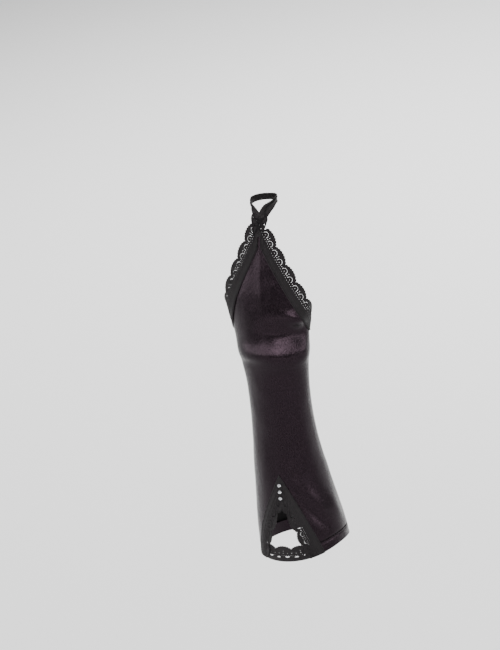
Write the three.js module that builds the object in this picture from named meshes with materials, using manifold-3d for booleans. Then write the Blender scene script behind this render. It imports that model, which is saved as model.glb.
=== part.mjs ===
// A long fingerless glove of stretch satin, in the shape that a forearm and hand give it when it is worn.
// The sleeve runs to a point over the back of the hand, where a lace loop holds it to the middle finger.
// Scalloped lace edges the hand opening and a keyhole in the elbow end, below three cut stones.
//
// Millimetres. +Z runs from the elbow towards the fingers, the back of the hand faces -Y and +X is the
// thumb's side. The origin is the centre of the elbow opening.
// A place on the glove is a turn about it, in degrees from its middle line towards the thumb, a z along
// it, and a height over the skin.
import * as THREE from "three";
import { mergeVertices } from "three/addons/utils/BufferGeometryUtils.js";
import Module from "manifold-3d";

const SATIN_WALL = 1.0;
const LACE_WALL = 1.0;
const GAP = 0.3;

// Each layer of cloth lies over the one before it, with a gap that keeps their flat faces apart on the
// tightest bend.
const LAYER_GAP = 0.45;
const TRIM_HEIGHT = SATIN_WALL + LAYER_GAP;
const TOP_HEIGHT = TRIM_HEIGHT + LACE_WALL + LAYER_GAP;

// The arm's sections inside the glove: the z of each, its middle, half its width and depth, and how far
// the glove is twisted round it, in degrees from the middle of the arm's back.
const ARM = [
  { z: 0, midX: 0.0, midY: 0.0, halfWidth: 36.5, halfDepth: 34.0, twist: -4.9 },
  { z: 30, midX: -1.2, midY: 0.0, halfWidth: 34.3, halfDepth: 30.8, twist: -1.6 },
  { z: 60, midX: -2.6, midY: 0.0, halfWidth: 30.6, halfDepth: 26.0, twist: 1.5 },
  { z: 100, midX: -3.4, midY: 0.0, halfWidth: 26.0, halfDepth: 20.8, twist: 2.2 },
  { z: 140, midX: -2.4, midY: 0.0, halfWidth: 25.0, halfDepth: 18.0, twist: 2.2 },
  { z: 170, midX: -1.4, midY: 0.0, halfWidth: 28.2, halfDepth: 18.0, twist: 2.2 },
  { z: 200, midX: -0.8, midY: 2.5, halfWidth: 33.0, halfDepth: 18.0, twist: 2.4 },
  { z: 225, midX: -1.4, midY: 5.5, halfWidth: 38.0, halfDepth: 17.0, twist: 2.7 },
  { z: 250, midX: -0.5, midY: 9.5, halfWidth: 40.0, halfDepth: 16.0, twist: 2.7 },
  { z: 275, midX: 1.0, midY: 13.5, halfWidth: 40.0, halfDepth: 15.0, twist: 2.7 },
  { z: 300, midX: 2.5, midY: 17.0, halfWidth: 39.0, halfDepth: 14.0, twist: 2.7 },
];

// Folds of the satin: where the middle of each is, how far it stands out, its reach along the arm and
// round it, and how far it climbs for each degree of turn.
const FOLDS = [
  { turn: 6, z: 171, rise: 2.7, reach: 8.2, spread: 78, climb: -0.04 },
  { turn: 46, z: 190.5, rise: -2.4, reach: 7.4, spread: 42, climb: -0.02 },
  { turn: 68, z: 171.5, rise: 1.6, reach: 8, spread: 20, climb: -0.04 },
  { turn: 68, z: 188, rise: -1.7, reach: 8, spread: 20, climb: -0.04 },
  { turn: 54, z: 200.5, rise: 2.7, reach: 5.8, spread: 20, climb: -0.1 },
  { turn: -36, z: 166.5, rise: -1, reach: 3.5, spread: 34, climb: 0.03 },
  { turn: 150, z: 166, rise: -1.2, reach: 5, spread: 50, climb: 0.03 },
  { turn: 165, z: 176, rise: 1.2, reach: 6, spread: 55, climb: 0.03 },
  { turn: 0, z: 230, rise: 0.3, reach: 30, spread: 3, climb: 0 },
  { turn: 50, z: 34, rise: -1.4, reach: 7, spread: 20, climb: -0.72 },
  { turn: 50, z: 48, rise: 0.9, reach: 8, spread: 22, climb: -0.72 },
  { turn: 84, z: 38, rise: 1.1, reach: 12, spread: 13, climb: -0.5 },
  { turn: 54, z: 95, rise: 0.7, reach: 32, spread: 12, climb: -0.6 },
  { turn: -125, z: 70, rise: 0.8, reach: 28, spread: 16, climb: 0.8 },
];

// The hem is drawn up on the thumb's side, round this turn, which fades out up the sleeve.
const HEM_RISE = 8.4;
const HEM_RISE_TURN = 90;
const HEM_RISE_SPREAD = 55;
const HEM_RISE_FADES_AT = 60;
const HEM_WIDTH = 11;
const HEM_FOLD = 0.6;
const HEM_FOLD_STARTS_AT = 1.2;

// The keyhole is a notch in the hem. Each of its sides is an arc, from this turn at the hem up to the
// notch's point on the glove's middle line.
const KEYHOLE_TURN = 43;
const KEYHOLE_TOP = 62;
const KEYHOLE_SIDE_RADIUS = 230;

// The satin's point on the back of the hand, and how its edges spread: half the panel's width grows
// with the distance below the point and with that distance's square, measured round a plain section of
// the hand. The palm's edge is level.
const POINT_Z = 276;
const EDGE_SPREAD = 0.38;
const EDGE_FLARE = 0.002;
const HAND_HALF_WIDTH = 36;
const HAND_HALF_DEPTH = 18;
const PALM_Z = 190;
const PALM_BLEND = 4;

// The lace trim: the part that is sewn over the satin, how far its scallops reach out from the satin's
// edge, and the power of a sine that rounds them.
const LACE_SEWN = 6;
const SCALLOP_REACH = 8.3;
const SCALLOP_VALLEY = 5.3;
const SCALLOP_ROUNDING = 0.6;
const SCALLOP_PITCH = 16;
const SCALLOP_STEPS = 8;

// The gaps in the lace are arches, two to a scallop, each between an inner and an outer bow.
const ARCH_INNER = 2.4;
const ARCH_OUTER = 3.0;
const ARCH_INNER_BOW = 1.0;
const ARCH_OUTER_BOW = 1.7;
const ARCH_STEPS = SCALLOP_STEPS / 2;
const ARCH_OPEN_STEPS = [1, 2];

// Where the hand's trim starts and ends, in millimetres from the satin's point.
const TRIM_START_THUMB_SIDE = 4.5;
const TRIM_START_FAR_SIDE = 0.5;

// The keyhole's trim starts at the middle of a scallop on the glove's middle line, and its first valley
// is this far down the notch's side.
const KEYHOLE_FIRST_VALLEY = 24.5;
const KEYHOLE_SCALLOPS = 3;

// The bridge is a narrower strip of the same lace across the keyhole's foot, where slits show too.
const BRIDGE_HEADER = 4.5;
const BRIDGE_COLUMNS = 3.25 * SCALLOP_STEPS;
const SLIT_INNER = -0.6;
const SLIT_OUTER = -0.2;
const SLIT_INNER_BOW = -0.5;
const SLIT_OUTER_BOW = 0.2;

// The band of the loop round the middle finger: the z of its lower and upper edge at each angle from
// the back of the finger.
const LOOP = [
  { angle: 0, low: 280.0, high: 287.4 },
  { angle: 15, low: 280.6, high: 291.1 },
  { angle: 30, low: 282.6, high: 293.4 },
  { angle: 50, low: 286.4, high: 294.6 },
  { angle: 70, low: 289.2, high: 295.6 },
  { angle: 90, low: 291.4, high: 296.8 },
  { angle: 180, low: 291.0, high: 296.0 },
];
const LOOP_X = 5.5;
const LOOP_Y = 8.5;
const LOOP_HALF_WIDTH = 9.5;
const LOOP_HALF_DEPTH = 10.6;
const STEM_BOTTOM = 268;
const STEM_TOP = 286.5;
const STEM_FOOT_X = 2.5;
const STEM_FOOT_HALF_WIDTH = 3.4;
const STEM_HALF_WIDTH = 6.8;
const STEM_TOP_X = 4.7;
const STEM_WIDENS_BY = 0.7;

const STONE_RADIUS = 1.5;
const STONE_HEIGHT = 1.3;
const STONE_GIRDLE = 0.35;
const STONE_TABLE_RADIUS = 0.85;
const STONE_SIDES = 12;
const STONES_Z = [54, 59.3, 64.8];

// The steps of the meshes. The sleeve has a column at each side of the notch, and levels that are
// closest at the wrist, with rows that spread from the first and last level to the sleeve's ends.
const SIDE_COLUMNS = 23;
const NOTCH_COLUMNS = 7;
const SLEEVE_LEVELS = [56, 70, 84, 98, 112, 126, 138, 148, 157, 164, 169, 174, 179, 184];
const ROWS_BELOW_LEVELS = 5;
const ROWS_ABOVE_LEVELS = 8;
const HEM_COLUMNS = 34;
const LOOP_COLUMNS = 36;
const STEM_COLUMNS = 6;
const STEM_ROWS = 6;

const satin = new THREE.MeshStandardMaterial({ color: 0x2c262b, roughness: 0.38 });
const hemSatin = new THREE.MeshStandardMaterial({ color: 0x2a2429, roughness: 0.42 });
const lace = new THREE.MeshStandardMaterial({ color: 0x17151a, roughness: 0.85 });
const crystal = new THREE.MeshStandardMaterial({ color: 0xf2f4f8, roughness: 0.05, metalness: 0.2 });

const { clamp, degToRad, radToDeg, euclideanModulo, lerp } = THREE.MathUtils;

// One column of a table at x, on a smooth curve through its rows.
function tableAt(table, key, x, column) {
  const above = table.findIndex((row) => row[key] > x);
  const i = clamp((above < 0 ? table.length : above) - 1, 0, table.length - 2);
  const slope = (k) => {
    const a = table[Math.max(k - 1, 0)];
    const b = table[Math.min(k + 1, table.length - 1)];
    return (b[column] - a[column]) / (b[key] - a[key]);
  };
  const span = table[i + 1][key] - table[i][key];
  const t = (x - table[i][key]) / span;
  const eased = lerp(table[i][column], table[i + 1][column], t * t * (3 - 2 * t));
  return eased + t * (1 - t) * span * ((1 - t) * slope(i) - t * slope(i + 1));
}

function armAt(z, column) {
  return tableAt(ARM, "z", z, column);
}

// The turn between two places round the arm, from -180 to 180.
function turnFrom(middle, turn) {
  return euclideanModulo(turn - middle + 180, 360) - 180;
}

function foldsAt(turn, z) {
  return FOLDS.reduce((sum, fold) => {
    const away = turnFrom(fold.turn, turn);
    const along = (z - fold.z - fold.climb * away) / fold.reach;
    const around = away / fold.spread;
    return sum + fold.rise * Math.exp(-along * along - around * around);
  }, 0);
}

// A point on the skin.
function skin(turn, z) {
  const t = degToRad(turn + armAt(z, "twist"));
  const fade = clamp(1 - z / HEM_RISE_FADES_AT, 0, 1.2);
  const around = turnFrom(HEM_RISE_TURN, turn) / HEM_RISE_SPREAD;
  return new THREE.Vector3(
    armAt(z, "midX") + armAt(z, "halfWidth") * Math.sin(t),
    armAt(z, "midY") - armAt(z, "halfDepth") * Math.cos(t),
    z + HEM_RISE * Math.exp(-around * around) * fade * fade,
  );
}

// The skin's directions at a place: round the arm by a degree, along it by a millimetre, and out.
function directions(turn, z) {
  const aside = skin(turn + 0.5, z).sub(skin(turn - 0.5, z));
  const along = skin(turn, z + 0.5).sub(skin(turn, z - 0.5));
  return { aside, along, out: aside.clone().cross(along).normalize() };
}

// A point at a height over the skin, on the folds of the satin.
function onArm(turn, z, height) {
  return skin(turn, z).addScaledVector(directions(turn, z).out, height + foldsAt(turn, z));
}

// How far round the hand a turn is, in millimetres from the middle of its back.
function roundHand(turn) {
  const steps = Math.max(1, Math.ceil(Math.abs(turn)));
  const step = degToRad(Math.abs(turn)) / steps;
  let length = 0;
  for (let k = 0; k < steps; k++) {
    const a = (k + 0.5) * step;
    length += step * Math.hypot(HAND_HALF_WIDTH * Math.cos(a), HAND_HALF_DEPTH * Math.sin(a));
  }
  return length;
}

// The z of the satin's edge at the hand: two edges down from the point, then level round the palm.
function handEdge(turn) {
  const away = roundHand(turnFrom(0, turn));
  const root = Math.sqrt(EDGE_SPREAD * EDGE_SPREAD + 4 * EDGE_FLARE * away);
  const below = (root - EDGE_SPREAD) / (2 * EDGE_FLARE);
  const over = (POINT_Z - below - PALM_Z) / PALM_BLEND;
  return PALM_Z + PALM_BLEND * Math.log(1 + Math.exp(over));
}

// The keyhole is drawn flat, with x across it from the middle line, and wrapped on the arm. A point
// beside its thumb's side is an angle of the side's arc and a distance w out into the notch.
const NOTCH_HALF_WIDTH = degToRad(KEYHOLE_TURN) * ARM[0].halfWidth;
const NOTCH_CHORD = Math.hypot(NOTCH_HALF_WIDTH, KEYHOLE_TOP);
const NOTCH_TOP_ANGLE =
  Math.atan2(NOTCH_HALF_WIDTH, KEYHOLE_TOP) + Math.asin(NOTCH_CHORD / 2 / KEYHOLE_SIDE_RADIUS);
const NOTCH_MID_X = KEYHOLE_SIDE_RADIUS * Math.cos(NOTCH_TOP_ANGLE);
const NOTCH_MID_Z = KEYHOLE_TOP - KEYHOLE_SIDE_RADIUS * Math.sin(NOTCH_TOP_ANGLE);
function notchPoint(angle, w) {
  const radius = KEYHOLE_SIDE_RADIUS - w;
  return { x: radius * Math.cos(angle) - NOTCH_MID_X, z: NOTCH_MID_Z + radius * Math.sin(angle) };
}
function notchAngleOnMiddle(w) {
  return Math.acos(NOTCH_MID_X / (KEYHOLE_SIDE_RADIUS - w));
}
function notchAngleAt(z, w) {
  return Math.asin((z - NOTCH_MID_Z) / (KEYHOLE_SIDE_RADIUS - w));
}
function notchHalfWidth(z) {
  return notchPoint(notchAngleAt(z, 0), 0).x;
}
function notchTurn(x) {
  return (KEYHOLE_TURN * x) / NOTCH_HALF_WIDTH;
}
function onNotch(x, z, height) {
  return onArm(notchTurn(x), z, height);
}

// The z of the satin's edge at a turn inside the notch.
function notchEdge(turn) {
  const x = (NOTCH_HALF_WIDTH * Math.abs(turnFrom(0, turn))) / KEYHOLE_TURN;
  const angle = Math.acos(clamp((x + NOTCH_MID_X) / KEYHOLE_SIDE_RADIUS, 0, 1));
  return notchPoint(angle, 0).z;
}

// A closed sheet of cloth on a grid. corner(column, row, side) gives each corner, with side 0 towards
// the skin and 1 away from it. A ring joins its last column to its first, and a cell that cut(column,
// row) names is left open.
function cloth(columns, rows, corner, { ring = false, cut = () => false } = {}) {
  const across = ring ? columns : columns + 1;
  const positions = [];
  for (let side = 0; side < 2; side++)
    for (let row = 0; row <= rows; row++)
      for (let column = 0; column < across; column++)
        positions.push(...corner(column, row, side).toArray());
  const index = (column, row, side) =>
    (side * (rows + 1) + row) * across + (ring ? column % columns : column);
  const isThere = (column, row) => {
    if (row < 0 || row >= rows) return false;
    if (ring) return !cut(euclideanModulo(column, columns), row);
    return column >= 0 && column < columns && !cut(column, row);
  };
  const faces = [];
  const quad = (a, b, c, d) => faces.push(a, b, c, a, c, d);
  const wall = (from, to) =>
    quad(index(...from, 0), index(...to, 0), index(...to, 1), index(...from, 1));
  for (let row = 0; row < rows; row++)
    for (let column = 0; column < columns; column++) {
      if (!isThere(column, row)) continue;
      const a = [column, row];
      const b = [column + 1, row];
      const c = [column + 1, row + 1];
      const d = [column, row + 1];
      quad(index(...a, 1), index(...b, 1), index(...c, 1), index(...d, 1));
      quad(index(...d, 0), index(...c, 0), index(...b, 0), index(...a, 0));
      if (!isThere(column, row - 1)) wall(a, b);
      if (!isThere(column + 1, row)) wall(b, c);
      if (!isThere(column, row + 1)) wall(c, d);
      if (!isThere(column - 1, row)) wall(d, a);
    }
  const geometry = new THREE.BufferGeometry();
  geometry.setAttribute("position", new THREE.Float32BufferAttribute(positions, 3));
  geometry.setIndex(faces);
  geometry.computeVertexNormals();
  return geometry;
}

function piece(name, geometry, material) {
  const mesh = new THREE.Mesh(geometry, material);
  mesh.name = name;
  return mesh;
}

// The sleeve's columns are closest on the back of the arm, where the point and the keyhole are.
const SLEEVE_FOOT = HEM_WIDTH + GAP;
const SLEEVE_CROWDING =
  Math.log(notchTurn(notchHalfWidth(SLEEVE_FOOT)) / 180) / Math.log(NOTCH_COLUMNS / SIDE_COLUMNS);
function sleeveTurn(column) {
  const k = column - SIDE_COLUMNS;
  return Math.sign(k) * 180 * Math.pow(Math.abs(k) / SIDE_COLUMNS, SLEEVE_CROWDING);
}

function makeSleeve() {
  const lastLevel = ROWS_BELOW_LEVELS + SLEEVE_LEVELS.length - 1;
  const rows = lastLevel + ROWS_ABOVE_LEVELS;
  const rowZ = (turn, row) => {
    if (row < ROWS_BELOW_LEVELS) {
      const foot = Math.max(notchEdge(turn), SLEEVE_FOOT);
      return lerp(foot, SLEEVE_LEVELS[0], row / ROWS_BELOW_LEVELS);
    }
    if (row <= lastLevel) return SLEEVE_LEVELS[row - ROWS_BELOW_LEVELS];
    return lerp(SLEEVE_LEVELS.at(-1), handEdge(turn), (row - lastLevel) / ROWS_ABOVE_LEVELS);
  };
  const corner = (column, row, side) => {
    const turn = sleeveTurn(column);
    return onArm(turn, rowZ(turn, row), side * SATIN_WALL);
  };
  return piece("sleeve", cloth(2 * SIDE_COLUMNS, rows, corner, { ring: true }), satin);
}

// The hem is satin folded double, so it is thicker than the sleeve, and it stops at the keyhole.
function makeHem() {
  const section = [
    { z: 0, inner: 0 },
    { z: HEM_FOLD_STARTS_AT, inner: -HEM_FOLD },
    { z: HEM_WIDTH, inner: -HEM_FOLD },
  ];
  const corner = (column, row, side) => {
    const { z, inner } = section[row];
    const start = notchTurn(notchHalfWidth(z));
    const turn = lerp(start, 360 - start, column / HEM_COLUMNS);
    return onArm(turn, z, side ? SATIN_WALL : inner);
  };
  return piece("arm_hem", cloth(HEM_COLUMNS, section.length - 1, corner), hemSatin);
}

// The lace across its strip, at a phase of its scallop from 0 to 1: how far out from the satin's edge
// the two bows of the arch and the free edge are.
function scallop(phase) {
  const arch = Math.abs(Math.sin(2 * Math.PI * phase));
  const crown = Math.pow(Math.abs(Math.sin(Math.PI * phase)), SCALLOP_ROUNDING);
  return {
    arch,
    inner: ARCH_INNER + ARCH_INNER_BOW * arch,
    outer: ARCH_OUTER + ARCH_OUTER_BOW * arch,
    edge: lerp(SCALLOP_VALLEY, SCALLOP_REACH, crown),
  };
}

function isArchOpen(step) {
  return ARCH_OPEN_STEPS.includes(euclideanModulo(step, ARCH_STEPS));
}

// A line on the skin, given as places, that can be walked in millimetres.
function measured(places) {
  const lengths = [0];
  for (let i = 1; i < places.length; i++) {
    const [from, to] = [places[i - 1], places[i]];
    lengths.push(lengths[i - 1] + skin(from.turn, from.z).distanceTo(skin(to.turn, to.z)));
  }
  const at = (s) => {
    const above = lengths.findIndex((length) => length > s);
    const i = clamp(above < 0 ? places.length : above, 1, places.length - 1);
    const share = (s - lengths[i - 1]) / (lengths[i] - lengths[i - 1]);
    return {
      turn: lerp(places[i - 1].turn, places[i].turn, share),
      z: lerp(places[i - 1].z, places[i].z, share),
    };
  };
  return { total: lengths.at(-1), at };
}

// The place that is s along a line and w to the left of it, as seen from outside.
function beside(line, s, w) {
  const here = line.at(s);
  const from = line.at(s - 1);
  const to = line.at(s + 1);
  const { aside, along, out } = directions(here.turn, here.z);
  const ahead = skin(to.turn, to.z).sub(skin(from.turn, from.z));
  const left = out.clone().cross(ahead).normalize();
  const squares = aside.lengthSq() * along.lengthSq() - aside.dot(along) ** 2;
  const turns = left.dot(aside) * along.lengthSq() - left.dot(along) * aside.dot(along);
  const rises = left.dot(along) * aside.lengthSq() - left.dot(aside) * aside.dot(along);
  return { turn: here.turn + (w * turns) / squares, z: here.z + (w * rises) / squares };
}

// The hand's trim runs from one side of the point, round the palm, to its other side. Near the point
// its sewn part is cut along the middle line, where its two ends meet.
function makeHandLace() {
  const places = [];
  for (let turn = 0; turn <= 360; turn += 1) places.push({ turn, z: handEdge(turn) });
  const edge = measured(places);
  const length = edge.total - TRIM_START_THUMB_SIDE - TRIM_START_FAR_SIDE;
  const scallops = Math.round(length / SCALLOP_PITCH);
  const columns = scallops * SCALLOP_STEPS;
  const corner = (column, row, side) => {
    const s = TRIM_START_THUMB_SIDE + (length * column) / columns;
    const toPoint = Math.min(s, edge.total - s);
    const sewn = Math.min(LACE_SEWN, EDGE_SPREAD * toPoint - GAP);
    const { inner, outer, edge: free } = scallop(column / SCALLOP_STEPS);
    const { turn, z } = beside(edge, s, [-sewn, (inner - sewn) / 2, inner, outer, free][row]);
    return onArm(turn, z, TRIM_HEIGHT + side * LACE_WALL);
  };
  const archRow = 2;
  const cut = (column, row) => row === archRow && isArchOpen(column);
  return piece("hand_lace", cloth(columns, 4, corner, { cut }), lace);
}

// The keyhole's trim runs up one side and down the other. At the top its columns lean over, so that
// the two sides meet on the middle line, and at the foot they lean to end on the hem's own edge.
function makeKeyholeLace() {
  const sideLength = KEYHOLE_SIDE_RADIUS * (NOTCH_TOP_ANGLE - notchAngleAt(0, 0));
  const pitch = (sideLength - KEYHOLE_FIRST_VALLEY) / KEYHOLE_SCALLOPS;
  const middle = (KEYHOLE_SCALLOPS + 0.5) * SCALLOP_STEPS;
  const corner = (column, row, side) => {
    const steps = Math.abs(column - middle) - SCALLOP_STEPS / 2;
    const s = KEYHOLE_FIRST_VALLEY + (pitch * steps) / SCALLOP_STEPS;
    const { inner, outer, edge } = scallop(steps / SCALLOP_STEPS);
    const w = [-LACE_SEWN, (inner - LACE_SEWN) / 2, inner, outer, edge][row];
    const start = KEYHOLE_FIRST_VALLEY - pitch / 2;
    const atTop = Math.max(0, 1 - (s - start) / (1.5 * pitch));
    const atFoot = Math.max(0, 1 - (sideLength - s) / pitch);
    const startAngle = NOTCH_TOP_ANGLE - start / KEYHOLE_SIDE_RADIUS;
    const angle =
      NOTCH_TOP_ANGLE -
      s / KEYHOLE_SIDE_RADIUS +
      atTop * (notchAngleOnMiddle(w) - startAngle) +
      atFoot * (notchAngleAt(0, w) - notchAngleAt(0, 0));
    const { x, z } = notchPoint(angle, w);
    return onNotch(Math.sign(middle - column) * x, z, TRIM_HEIGHT + side * LACE_WALL);
  };
  const archRow = 2;
  const cut = (column, row) => {
    const step = column < middle ? middle - 1 - column : column - middle;
    return row === archRow && isArchOpen(step);
  };
  return piece("keyhole_lace", cloth(2 * middle, 4, corner, { cut }), lace);
}

function makeKeyholeBridge() {
  const corner = (column, row, side) => {
    const { arch, inner, outer, edge } = scallop(column / SCALLOP_STEPS);
    const slitInner = SLIT_INNER + SLIT_INNER_BOW * arch;
    const slitOuter = SLIT_OUTER + SLIT_OUTER_BOW * arch;
    const z = BRIDGE_HEADER + [-BRIDGE_HEADER, slitInner, slitOuter, inner, outer, edge][row];
    const half = notchHalfWidth(z) - GAP;
    return onNotch(half * ((2 * column) / BRIDGE_COLUMNS - 1), z, side * LACE_WALL);
  };
  const openRows = [1, 3];
  const cut = (column, row) => openRows.includes(row) && isArchOpen(column);
  return piece("keyhole_bridge", cloth(BRIDGE_COLUMNS, 5, corner, { cut }), lace);
}

// Solids that manifold-3d can join, and back again.
const wasm = await Module();
wasm.setup();
function solidOf(geometry) {
  const bare = new THREE.BufferGeometry();
  bare.setAttribute("position", geometry.getAttribute("position"));
  bare.setIndex(geometry.getIndex());
  const merged = mergeVertices(bare, 1e-4);
  const vertProperties = new Float32Array(merged.getAttribute("position").array);
  const triVerts = new Uint32Array(merged.getIndex().array);
  return new wasm.Manifold(new wasm.Mesh({ numProp: 3, vertProperties, triVerts }));
}
function geometryOf(solid) {
  const { vertProperties, triVerts } = solid.getMesh();
  const geometry = new THREE.BufferGeometry();
  geometry.setAttribute("position", new THREE.BufferAttribute(vertProperties, 3));
  geometry.setIndex(new THREE.BufferAttribute(triVerts, 1));
  geometry.computeVertexNormals();
  return geometry;
}

// The finger loop is lace too: a stem over the point of the hand, and a ring that forks from it.
function makeFingerLoop() {
  const ringCorner = (column, row, side) => {
    const angle = (360 * column) / LOOP_COLUMNS - 180;
    const a = degToRad(angle);
    const low = tableAt(LOOP, "angle", Math.abs(angle), "low");
    const high = tableAt(LOOP, "angle", Math.abs(angle), "high");
    return new THREE.Vector3(
      LOOP_X + (LOOP_HALF_WIDTH + side * LACE_WALL) * Math.sin(a),
      LOOP_Y - (LOOP_HALF_DEPTH + side * LACE_WALL) * Math.cos(a),
      row ? high : low,
    );
  };
  const stemCorner = (column, row, side) => {
    const share = row / STEM_ROWS;
    const z = lerp(STEM_BOTTOM, STEM_TOP, share);
    const widened = Math.min(1, share / STEM_WIDENS_BY);
    const half = lerp(STEM_FOOT_HALF_WIDTH, STEM_HALF_WIDTH, widened);
    const x = lerp(STEM_FOOT_X, STEM_TOP_X, widened) + half * ((2 * column) / STEM_COLUMNS - 1);
    const around = radToDeg(Math.asin((x - armAt(z, "midX")) / armAt(z, "halfWidth")));
    return onArm(around - armAt(z, "twist"), z, TOP_HEIGHT + side * LACE_WALL);
  };
  const ring = solidOf(cloth(LOOP_COLUMNS, 1, ringCorner, { ring: true }));
  const stem = solidOf(cloth(STEM_COLUMNS, STEM_ROWS, stemCorner));
  return piece("finger_loop", geometryOf(ring.add(stem)), lace);
}

// A flat-backed cut stone: its girdle, its slanted facets and its table.
function makeStone(name, z) {
  const profile = [
    new THREE.Vector2(0, 0),
    new THREE.Vector2(STONE_RADIUS, 0),
    new THREE.Vector2(STONE_RADIUS, STONE_GIRDLE),
    new THREE.Vector2(STONE_TABLE_RADIUS, STONE_HEIGHT),
    new THREE.Vector2(0, STONE_HEIGHT),
  ];
  const mesh = piece(name, new THREE.LatheGeometry(profile, STONE_SIDES), crystal);
  mesh.position.copy(onArm(0, z, TOP_HEIGHT));
  mesh.quaternion.setFromUnitVectors(new THREE.Vector3(0, 1, 0), directions(0, z).out);
  return mesh;
}

const glove = new THREE.Group();
glove.add(makeSleeve(), makeHem(), makeHandLace(), makeFingerLoop());
glove.add(makeKeyholeLace(), makeKeyholeBridge());
STONES_Z.forEach((z, i) => glove.add(makeStone(`stone_${i + 1}`, z)));

export default glove;
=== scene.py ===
"""A long fingerless glove of black stretch satin, dressed in its fine surface: satin, lace, stitches and
cut stones. It is laid out as a Blender add-on and is run as a script.

Metres, in the frame of the solids: +Z runs from the elbow towards the fingers, the back of the hand
faces -Y and +X is the thumb's side. A place on the glove is a turn in degrees from its middle line
towards the thumb, a z along it and a height over the skin.
"""

import math
from bisect import bisect_right
from collections import namedtuple
from functools import lru_cache, partial

import bmesh
import bpy
from mathutils import Matrix, Vector, noise


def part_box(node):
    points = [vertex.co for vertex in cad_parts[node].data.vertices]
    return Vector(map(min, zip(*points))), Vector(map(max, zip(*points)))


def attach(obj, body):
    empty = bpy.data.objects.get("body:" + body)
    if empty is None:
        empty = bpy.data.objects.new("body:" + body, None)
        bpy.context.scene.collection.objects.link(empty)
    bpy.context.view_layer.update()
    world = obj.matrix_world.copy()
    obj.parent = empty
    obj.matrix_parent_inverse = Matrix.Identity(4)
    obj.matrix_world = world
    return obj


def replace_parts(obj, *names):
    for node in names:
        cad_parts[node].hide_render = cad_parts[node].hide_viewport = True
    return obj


bl_info = {
    "name": "Laced Satin Glove",
    "version": (1, 0, 0),
    "blender": (4, 5, 0),
    "location": "3D View > Sidebar > Glove",
    "description": "Dresses the solids of a fingerless satin glove in satin, lace, stitches and stones",
    "category": "Object",
}

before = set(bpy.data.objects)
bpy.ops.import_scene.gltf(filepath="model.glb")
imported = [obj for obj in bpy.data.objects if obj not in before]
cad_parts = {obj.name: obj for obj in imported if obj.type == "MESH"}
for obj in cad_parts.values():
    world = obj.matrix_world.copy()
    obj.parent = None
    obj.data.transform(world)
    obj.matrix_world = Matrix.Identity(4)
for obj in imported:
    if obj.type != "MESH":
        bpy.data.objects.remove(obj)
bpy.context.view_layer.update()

MM = 0.001

# The arm's sections inside the glove, as the solids have them. The twist is in degrees.
Section = namedtuple("Section", "z mid_x mid_y half_width half_depth twist")
ARM = [
    Section(0.000, 0.0000, 0.0000, 0.0365, 0.0340, -4.9),
    Section(0.030, -0.0012, 0.0000, 0.0343, 0.0308, -1.6),
    Section(0.060, -0.0026, 0.0000, 0.0306, 0.0260, 1.5),
    Section(0.100, -0.0034, 0.0000, 0.0260, 0.0208, 2.2),
    Section(0.140, -0.0024, 0.0000, 0.0250, 0.0180, 2.2),
    Section(0.170, -0.0014, 0.0000, 0.0282, 0.0180, 2.2),
    Section(0.200, -0.0008, 0.0025, 0.0330, 0.0180, 2.4),
    Section(0.225, -0.0014, 0.0055, 0.0380, 0.0170, 2.7),
    Section(0.250, -0.0005, 0.0095, 0.0400, 0.0160, 2.7),
    Section(0.275, 0.0010, 0.0135, 0.0400, 0.0150, 2.7),
    Section(0.300, 0.0025, 0.0170, 0.0390, 0.0140, 2.7),
]

# The satin's folds: the middle of each, how far it stands out, its reach along the arm, its spread round
# it in degrees, and how far it climbs for each degree of turn.
Fold = namedtuple("Fold", "turn z rise reach spread climb")
FOLDS = [
    Fold(6, 0.171, 0.0027, 0.0082, 78, -0.00004),
    Fold(46, 0.1905, -0.0024, 0.0074, 42, -0.00002),
    Fold(68, 0.1715, 0.0016, 0.0080, 20, -0.00004),
    Fold(68, 0.1880, -0.0017, 0.0080, 20, -0.00004),
    Fold(54, 0.2005, 0.0027, 0.0058, 20, -0.0001),
    Fold(-36, 0.1665, -0.0010, 0.0035, 34, 0.00003),
    Fold(150, 0.166, -0.0012, 0.005, 50, 0.00003),
    Fold(165, 0.176, 0.0012, 0.006, 55, 0.00003),
    Fold(0, 0.230, 0.0003, 0.030, 3, 0.0),
    Fold(50, 0.034, -0.0014, 0.0070, 20, -0.00072),
    Fold(50, 0.048, 0.0009, 0.0080, 22, -0.00072),
    Fold(84, 0.038, 0.0011, 0.012, 13, -0.0005),
    Fold(54, 0.095, 0.0007, 0.032, 12, -0.0006),
    Fold(-125, 0.070, 0.0008, 0.028, 16, 0.0008),
]

# The hem is drawn up on the thumb's side, which fades out up the sleeve.
HEM_RISE = 0.0084
HEM_RISE_TURN = 90
HEM_RISE_SPREAD = 55
HEM_RISE_FADES_AT = 0.060
HEM_WIDTH = 0.011
GAP = 0.0003

# The keyhole's sides are arcs that meet in a point on the middle line.
KEYHOLE_TURN = 43
KEYHOLE_TOP = 0.062
KEYHOLE_SIDE_RADIUS = 0.230

# The satin's point on the back of the hand and its edges down to the palm.
POINT_Z = 0.276
EDGE_SPREAD = 0.38
EDGE_FLARE = 2.0
HAND_HALF_WIDTH = 0.036
HAND_HALF_DEPTH = 0.018
PALM_Z = 0.190
PALM_BLEND = 0.004

# Where the trims start, measured from the satin's point and from the top of the keyhole.
TRIM_START_THUMB_SIDE = 0.0045
TRIM_START_FAR_SIDE = 0.0005
KEYHOLE_FIRST_VALLEY = 0.0245
KEYHOLE_SCALLOPS = 3
KEYHOLE_LEANING_SCALLOPS = 1.5
BRIDGE_SCALLOPS = 3.25
BRIDGE_HEADER = 0.0045
BRIDGE_HEIGHT = 0.001

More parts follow.
